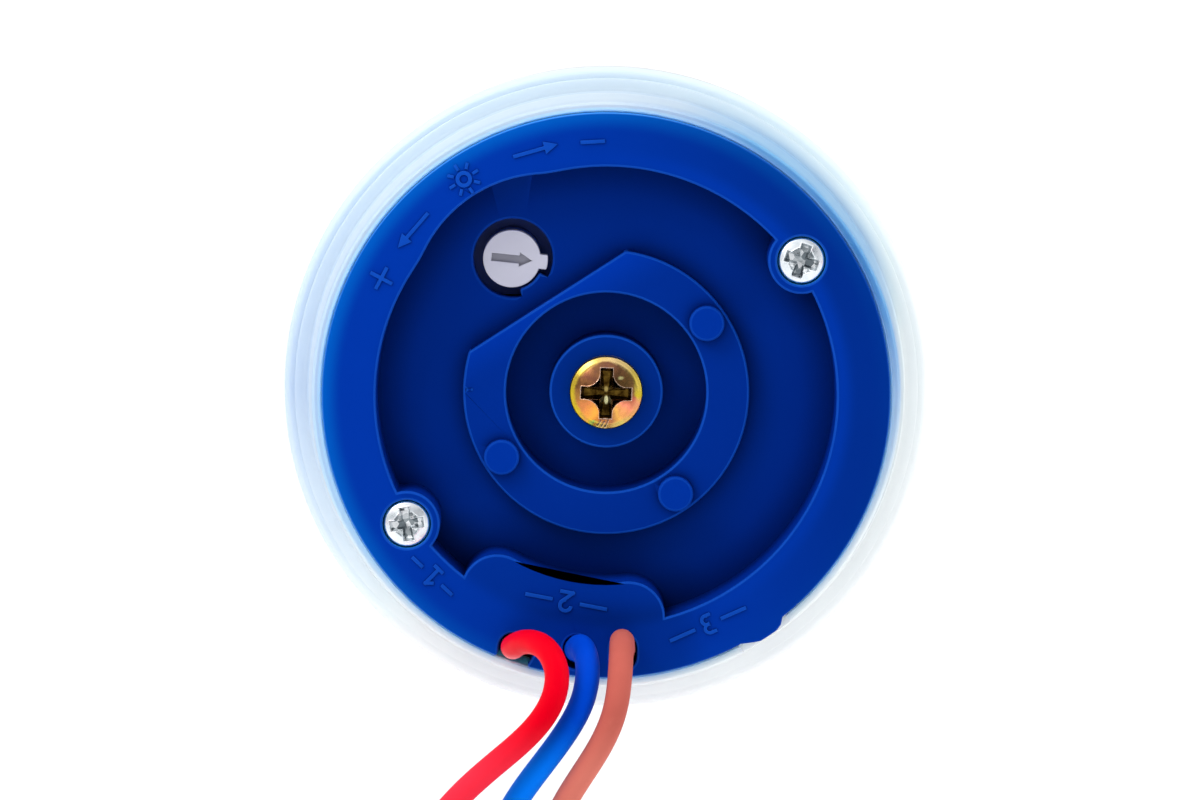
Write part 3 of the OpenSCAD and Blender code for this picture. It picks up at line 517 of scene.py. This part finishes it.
ROUTES = {
    "red": [[-8.5, -26.5, -11.5], [-8.5, -26.5, -8.5], [-9.4, -29.4, -5], [-10.3, -29.5, 0], [-10.8, -29.3, 4],
            [-10.8, -28.4, 8.5], [-9.2, -27, 12.4], [-6.8, -27, 16], [-5.2, -29.6, 19], [-6, -33.2, 20.5],
            [-8.6, -36.5, 21], [-12.2, -39.5, 21], [-16.2, -43, 20.5], [-20, -47.5, 20], [-23, -53, 19.5],
            [-25, -60, 19], [-26, -69, 18.5], [-26.5, -81, 18], [-26.5, -94, 18], [-26.5, -107, 18],
            [-26.5, -121, 18], [-26.5, -135, 18]],
    "blue": [[-3.5, -27, -11.5], [-3.5, -27, -8.5], [-3.5, -29.3, -4.7], [-3.5, -30.3, -0.5], [-3.5, -29.7, 3.5],
             [-3.3, -28.6, 7.3], [-2.7, -27.7, 11.7], [-1.9, -29.4, 15.6], [-2.4, -33, 17.7], [-4.4, -36.6, 18.2],
             [-7.3, -40.4, 18.5], [-10.5, -44.6, 18.5], [-13, -50, 18], [-15, -58, 17.5], [-16, -67, 17],
             [-16.5, -78, 17], [-16.5, -90, 17], [-16.5, -103, 17], [-16.5, -117, 17], [-16.5, -131, 17],
             [-16.5, -144, 17]],
    "brown": [[2, -27, -11.5], [2, -27, -8.5], [2, -29.4, -4.7], [2, -30.5, -0.8], [2, -29.8, 3.4],
              [1.9, -28.5, 7.2], [1.8, -26.9, 11.2], [1.7, -28.1, 15.8], [1.5, -31.6, 18.4], [0.8, -35.2, 19],
              [-1.1, -39, 19], [-3.8, -43, 18.5], [-6.3, -47.5, 18.5], [-7.9, -53.5, 18], [-8.6, -61.5, 17.5],
              [-9, -71, 17], [-9, -83, 17], [-9, -96, 17], [-9, -109, 17], [-9, -122, 17],
              [-9, -135, 17], [-9, -147, 17]],
}
LEAD_R = 1.4 * MM
for key, mat_, seed in (("red", RED, 1), ("blue", BLUEW, 2), ("brown", BROWN, 3)):
    line = bspline(ROUTES[key], 7)
    step = np.linalg.norm(np.diff(line, axis=0), axis=1)
    # the cut end of the insulation is a little rounded
    extra = line[-1] + (line[-1] - line[-2]) / step[-1] * 0.0
    radii = np.full(len(line), LEAD_R)
    tail = [0.12, 0.05, 0.0]
    end_dir = (line[-1] - line[-2]) / step[-1]
    line_ = np.concatenate([line[:-1], [line[-1] - end_dir * t * MM for t in tail]])
    radii = np.concatenate([radii[:-1], [LEAD_R, LEAD_R - 0.04 * MM, LEAD_R - 0.12 * MM]])
    lead = mesh_object(key + "_insulation_tube", *tube(key, line_, radii))
    lead.data.set_sharp_from_angle(angle=math.radians(50))
    finish_material(lead, mat_)
    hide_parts(key + "_lead")
    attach(lead, "housing")
    # stripped end: seven tinned strands, lightly twisted
    end = Vector(line[-1])
    verts, faces = [], []
    for s in range(7):
        ring = 0.0 if s == 0 else 0.425 * MM
        pts = []
        for i in range(41):
            z = i / 40 * 8.0 * MM
            t = s * math.pi / 3 + seed * 0.4 + 2 * math.pi * z / (9 * MM)
            pull = 1.0 - 0.04 * math.sin(3.1 * s + 9 * z / (8 * MM))
            pts.append([end.x + ring * pull * math.cos(t), end.y + ring * pull * math.sin(t), end.z + (1.0 * MM if i == 0 else 0) - z])
        pts = np.array(pts)
        rr = np.full(41, 0.2225 * MM)
        rr[-1] = 0.15 * MM
        v_, f_ = tube("s", pts, rr, 10)
        off = len(verts)
        verts += v_
        faces += [tuple(i + off for i in f) for f in f_]
    core = mesh_object(key + "_strands", verts, faces)
    core.data.set_sharp_from_angle(angle=math.radians(50))
    finish_material(core, TIN)
    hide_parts(key + "_lead_end")
    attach(core, "housing")
    i = int(np.argmax(line[:, 1] < -4.7 * MM))


# ------------------------------------------------------------ softened CAD
def soft_copy(node, name, passes, weld=2e-6, flat=1.0, dissolve=True):
    """A copy of a CAD node with its edges rounded. passes are (which edges, width in mm, segments, strength of the
    painted edge highlight stored on the new rounded faces).
    """
    bm = bmesh.new()
    bm.from_mesh(NODES[node].data)
    bmesh.ops.remove_doubles(bm, verts=bm.verts, dist=weld)
    if dissolve:
        bmesh.ops.dissolve_limit(bm, angle_limit=math.radians(flat), use_dissolve_boundaries=False, verts=bm.verts, edges=bm.edges)
    light = bm.faces.layers.float.new("edge_light")
    for which, width, segments, value in passes:
        edges = [e for e in bm.edges if e.is_manifold and which(e)]
        made = bmesh.ops.bevel(bm, geom=edges, offset=width * MM, offset_type="OFFSET", segments=segments, profile=0.5,
                               affect="EDGES", clamp_overlap=False, loop_slide=True, miter_outer="SHARP", miter_inner="SHARP")
        for f in made["faces"]:
            f[light] = max(f[light], value)
    bm.normal_update()
    me = bpy.data.meshes.new(name)
    bm.to_mesh(me)
    bm.free()
    for p in me.polygons:
        p.use_smooth = True
    me.set_sharp_from_angle(angle=math.radians(38))
    ob = bpy.data.objects.new(name, me)
    COL.objects.link(ob)
    wn = ob.modifiers.new("flat faces", "WEIGHTED_NORMAL")
    wn.weight = 100
    wn.keep_sharp = True
    return ob


def local(v):
    return v.co.x * 1000, v.co.z * 1000, -v.co.y * 1000


def is_mark(e):
    z = [local(v)[2] for v in e.verts]
    return max(z) > 4.75 and max(z) < 4.95


def outer_rim(e):
    p = [local(v) for v in e.verts]
    return all(abs(q[2] - 4.7) < 0.02 and math.hypot(q[0], q[1]) > 32.3 for q in p)


def convex(e, least=35):
    return e.is_convex and e.calc_face_angle() > math.radians(least)


def pip_top(e):
    for q in (local(v) for v in e.verts):
        if abs(q[2] - 1.5) > 0.03 or not 11.5 < math.hypot(q[0], q[1]) < 16.8:
            return False
    return convex(e)


def knob_hole(e):
    for q in (local(v) for v in e.verts):
        if abs(q[2] + 2.5) > 0.03 or not 4.2 < math.hypot(q[0] + 10.8, q[1] - 15.4) < 4.8:
            return False
    return convex(e)


def base_main(e):
    return convex(e) and not (is_mark(e) or outer_rim(e) or pip_top(e) or knob_hole(e))


def base_outer(e):
    return convex(e) and outer_rim(e)


def mark_top(e):
    z = [local(v)[2] for v in e.verts]
    return convex(e, 60) and min(z) > 4.88 and max(z) < 4.92


base = soft_copy("base", "base_moulding", [
    (base_main, 0.28, 3, 0.8), (base_outer, 0.2, 4, 0.3), (pip_top, 0.3, 4, 0.45), (knob_hole, 0.3, 4, 0.3), (mark_top, 0.07, 2, 0.9)])
# painted highlight: the raised marks' faces get the painted edge highlight too
marks = base.data.attributes["edge_light"].data
for p in base.data.polygons:
    c = p.center
    if -0.00496 < c.y < -0.00472:
        marks[p.index].value = max(marks[p.index].value, 0.75)
finish_material(base, BLUE)
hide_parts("base")
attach(base, "housing")

knob = soft_copy("lux_knob", "adjuster_knob", [
    (lambda e: convex(e, 50) and min(local(v)[2] for v in e.verts) > -4.6, 0.12, 3, 0.0)])
arrow = knob.data.attributes.new("arrow", "FLOAT", "FACE").data
for p in knob.data.polygons:
    q = p.center
    inside = math.hypot(q.x * 1000 + 10.95, q.z * 1000 - 15.3) < 2.6
    if inside and 0.003 < q.y < 0.0036:
        arrow[p.index].value = 1.0
finish_material(knob, KNOB)
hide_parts("lux_knob")
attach(knob, "adjuster")


# ------------------------------------------------------------- screw heads
def soft_max(a, b, k):
    h = np.clip(0.5 + 0.5 * (a - b) / k, 0, 1)
    return b + (a - b) * h + k * h * (1 - h)


def pan_screw(centre, seat, head_r, head_h, shank_r, length, turn, span, wing, corner, deep, shallow, ball, scratches=(), ribs=0.0, na=224, rounding=0.25, ridge=0.0):
    """Pan head with a cross recess, as one closed mesh. centre is x, y and seat the height of the head's seat, in mm.

    Also returns for each vertex how much it lies in the recess, and on its lip."""
    nr = 84
    t = np.linspace(0, 2 * math.pi, na, endpoint=False)
    rr = head_r * (np.arange(1, nr + 1) / nr) ** 0.9
    R, T = np.meshgrid(rr, t, indexing="ij")
    X, Y = R * np.cos(T), R * np.sin(T)
    c, s = math.cos(math.radians(turn)), math.sin(math.radians(turn))

    def height(X, Y):
        R = np.hypot(X, Y)
        round_ = rounding
        dome = head_h - (ball - np.sqrt(ball ** 2 - R ** 2))
        q = np.clip((R - (head_r - round_)) / round_, 0, 1)
        dome = dome - round_ * (1 - np.sqrt(np.clip(1 - q ** 2, 0, 1)))
        U, V = np.abs(X * c + Y * s), np.abs(-X * s + Y * c)
        # the four quarters of the head that stand between the wings
        a, b_ = U - wing / 2, V - wing / 2
        quarter = np.where((a < corner) | (b_ < corner), corner - np.hypot(np.maximum(corner - a, 0), np.maximum(corner - b_, 0)), corner)
        quarter = np.where((a < 0) | (b_ < 0), np.minimum(a, b_), quarter)
        along = np.maximum(U, V)
        floor = shallow + (deep - shallow) * np.clip(1 - R / (span / 2), 0, 1) ** 0.8
        D = np.minimum(np.minimum(3.2 * -quarter, 2.2 * (span / 2 - along)), floor)
        if ribs:
            # small steps between the wings
            W = np.abs(np.abs(X * math.cos(0.785 + math.radians(turn)) + Y * math.sin(0.785 + math.radians(turn))))
            Z2 = np.abs(-X * math.sin(0.785 + math.radians(turn)) + Y * math.cos(0.785 + math.radians(turn)))
            for a2, b2 in ((W, Z2), (Z2, W)):
                D = np.maximum(D, np.minimum(np.minimum(4 * (0.17 * head_r - b2), 3 * (ribs - a2)), 0.3))
        recess = D.copy()
        dome = dome + ridge * np.exp(-((R - 0.86 * head_r) / 0.13) ** 2)
        D = soft_max(D, np.zeros_like(D), 0.05) - 0.05 / 4
        lip = 0.035 * np.exp(-((recess + 0.09) / 0.09) ** 2)
        for (x0, y0, x1, y1) in scratches:
            px, py = X - x0, Y - y0
            dx, dy = x1 - x0, y1 - y0
            h = np.clip((px * dx + py * dy) / (dx * dx + dy * dy), 0, 1)
            cut = np.exp(-(np.hypot(px - h * dx, py - h * dy) / 0.06) ** 2)
            D = D + 0.1 * cut
            recess = np.maximum(recess, -0.2 + 0.6 * cut)
        return dome - D + lip, recess

    Z, recess = height(X, Y)
    zc, rc = height(np.array([[1e-6]]), np.array([[1e-6]]))
    verts = [P(centre[0], centre[1], seat + float(zc[0, 0]))]
    inside = [1.0]
    lip = [0.0]
    for i in range(nr):
        for k in range(na):
            verts.append(P(centre[0] + X[i, k], centre[1] + Y[i, k], seat + Z[i, k]))
            d = recess[i, k]
            inside.append(float(np.clip((d - 0.08) / 0.3, 0, 1)))
            lip.append(float(np.exp(-((d + 0.03) / 0.1) ** 2)))
    edge_z = float(Z[-1].mean())
    profile = [(head_r, edge_z * 0.66), (head_r, edge_z * 0.33), (head_r, 0.05), (head_r - 0.06, 0.0), (shank_r + 0.3, 0.0), (shank_r, -0.25)]
    z = -0.25
    pitch = 0.7 if shank_r > 1.7 else 1.06
    while z > -(length - shank_r):
        profile += [(shank_r * 0.985, z - pitch * 0.25), (shank_r * 0.84, z - pitch * 0.5), (shank_r * 0.84, z - pitch * 0.62), (shank_r * 0.99, z - pitch)]
        z -= pitch
    profile += [(shank_r * 0.35, -length)]
    for r, z in profile:
        for k in range(na):
            a = 2 * math.pi * k / na
            verts.append(P(centre[0] + r * math.cos(a), centre[1] + r * math.sin(a), seat + max(z, -length)))
    verts.append(P(centre[0], centre[1], seat - length))
    faces = [(0, 1 + k, 1 + (k + 1) % na) for k in range(na)]
    rings = nr + len(profile)
    for i in range(rings - 1):
        for k in range(na):
            j = (k + 1) % na
            a, b_ = 1 + i * na, 1 + (i + 1) * na
            faces.append((a + k, b_ + k, b_ + j, a + j))
    last = 1 + (rings - 1) * na
    faces += [(len(verts) - 1, last + (k + 1) % na, last + k) for k in range(na)]
    inside += [0.0] * (len(verts) - len(inside))
    lip += [0.0] * (len(verts) - len(lip))
    return verts, faces, inside, lip


def screw_object(name, heads):
    verts, faces, inside, lip = [], [], [], []
    for v_, f_, i_, l_ in heads:
        off = len(verts)
        verts += v_
        faces += [tuple(i + off for i in f) for f in f_]
        inside += i_
        lip += l_
    ob = mesh_object(name, verts, faces)
    for key, values in (("recess", inside), ("lip", lip)):
        ob.data.attributes.new(key, "FLOAT", "POINT").data.foreach_set("value", values)
    ob.data.set_sharp_from_angle(angle=math.radians(60))
    return ob


gold = screw_object("bracket_screw_head", [pan_screw(
    (0, 0), -1.1, 4.25, 2.6, 1.95, 10, -2, 5.9, 1.48, 1.65, 1.7, 0.7, 7.8, na=384, rounding=0.16, ridge=0.02,
    scratches=[(-1.0, -3.85, -0.66, -3.25), (-0.58, -3.98, -0.22, -3.32), (-0.13, -4.04, 0.2, -3.22)])])
finish_material(gold, GOLD)
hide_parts("bracket_screw")
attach(gold, "housing")

small = screw_object("cover_screw_pair", [
    pan_screw((22.4, 15.7), 2.9, 2.65, 2.1, 1.45, 16, -18, 4.0, 1.28, 0.5, 1.1, 0.7, 6.0, ribs=1.5),
    pan_screw((-23.0, -14.75), 2.9, 2.65, 2.1, 1.45, 16, 8, 4.0, 1.28, 0.5, 1.1, 0.7, 6.0, ribs=1.5)])
finish_material(small, ZINC)
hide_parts("cover_screws")
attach(small, "housing")

# ------------------------------------------------------- CAD nodes as they are
for node, m in {
    "cover": OPAL, "brass_insert": BRASS, "seal_ring": SEAL, "trimmer_body": TRIM, "circuit_board": BOARD,
    "board_screws": ZINC, "relay": RELAY, "film_capacitor": FILM, "electrolytic_capacitor": DARK, "varistor": MOV,
    "rectifier_diodes": DARK, "zener_diode": ZENER, "transistor": DARK, "resistors": RESIST, "dropper_resistor": DROP,
    "ldr": SENSOR, "ldr_legs": TIN, "ldr_holder": DARK,
}.items():
    ob = NODES[node]
    if not ob.material_slots:
        ob.data.materials.append(m)
    for s in ob.material_slots:
        s.material = m

# ------------------------------------------------------- floor and lights
FLOOR, nt, b = material("pale_floor")
nt.links.new(ramp(nt, noise_tex(nt, coords(nt), 0.8, 2), [(0.3, (0.965, 0.968, 0.97)), (0.7, (0.985, 0.987, 0.989))]), b.inputs["Base Color"])
b.inputs["Roughness"].default_value = 0.8
b.inputs["Specular IOR Level"].default_value = 0.1
fl = mesh_object("floor", [(-20, -20, -0.1552), (20, -20, -0.1552), (20, 20, -0.1552), (-20, 20, -0.1552)], [(0, 1, 2, 3)], False)
finish_material(fl, FLOOR)

world = bpy.data.worlds.new("studio")
bpy.context.scene.world = world
world.use_nodes = True
nt = world.node_tree
bg = nt.nodes["Background"]
tc = nt.nodes.new("ShaderNodeTexCoord")
sx = nt.nodes.new("ShaderNodeSeparateXYZ")
nt.links.new(tc.outputs["Generated"], sx.inputs[0])
sky = ramp(nt, remap(nt, sx.outputs["Y"], -1.0, 1.0), [
    (0.0, (0.1, 0.1, 0.11)), (0.1, (0.16, 0.16, 0.17)), (0.26, (0.5, 0.5, 0.51)), (0.4, (1.0, 1.0, 1.0)), (0.6, (1.0, 1.0, 1.0)), (0.68, (0.4, 0.405, 0.42)), (0.986, (0.34, 0.345, 0.36)), (0.992, (0.86, 0.87, 0.88))])
across = maths(nt, "SUBTRACT", maths(nt, "MULTIPLY", sx.outputs["X"], 0.21), maths(nt, "MULTIPLY", sx.outputs["Z"], 0.16))
nt.links.new(sky, bg.inputs["Color"])
nt.links.new(remap(nt, across, -0.4, 0.4, 1.12, 2.61), bg.inputs["Strength"])



def area(name, where, to, size, energy, colour=(1, 1, 1), size_y=None):
    l = bpy.data.lights.new(name, "AREA")
    l.energy = energy
    l.color = colour
    l.size = size
    if size_y:
        l.shape = "RECTANGLE"
        l.size_y = size_y
    ob = bpy.data.objects.new(name, l)
    COL.objects.link(ob)
    ob.location = where
    ob.rotation_mode = "QUATERNION"
    ob.rotation_quaternion = (Vector(to) - Vector(where)).to_track_quat("-Z", "Y")
    return ob


area("key", (-0.13, -0.1, 0.15), (0, 0, 0), 0.1, 0.2)
sun = bpy.data.lights.new("soft top", "SUN")
sun.energy = 0.5
sun.angle = math.radians(60)
so = bpy.data.objects.new("soft top", sun)
COL.objects.link(so)
so.rotation_mode = "QUATERNION"
so.rotation_quaternion = Vector((0.25, 0.75, -0.6)).to_track_quat("-Z", "Y")
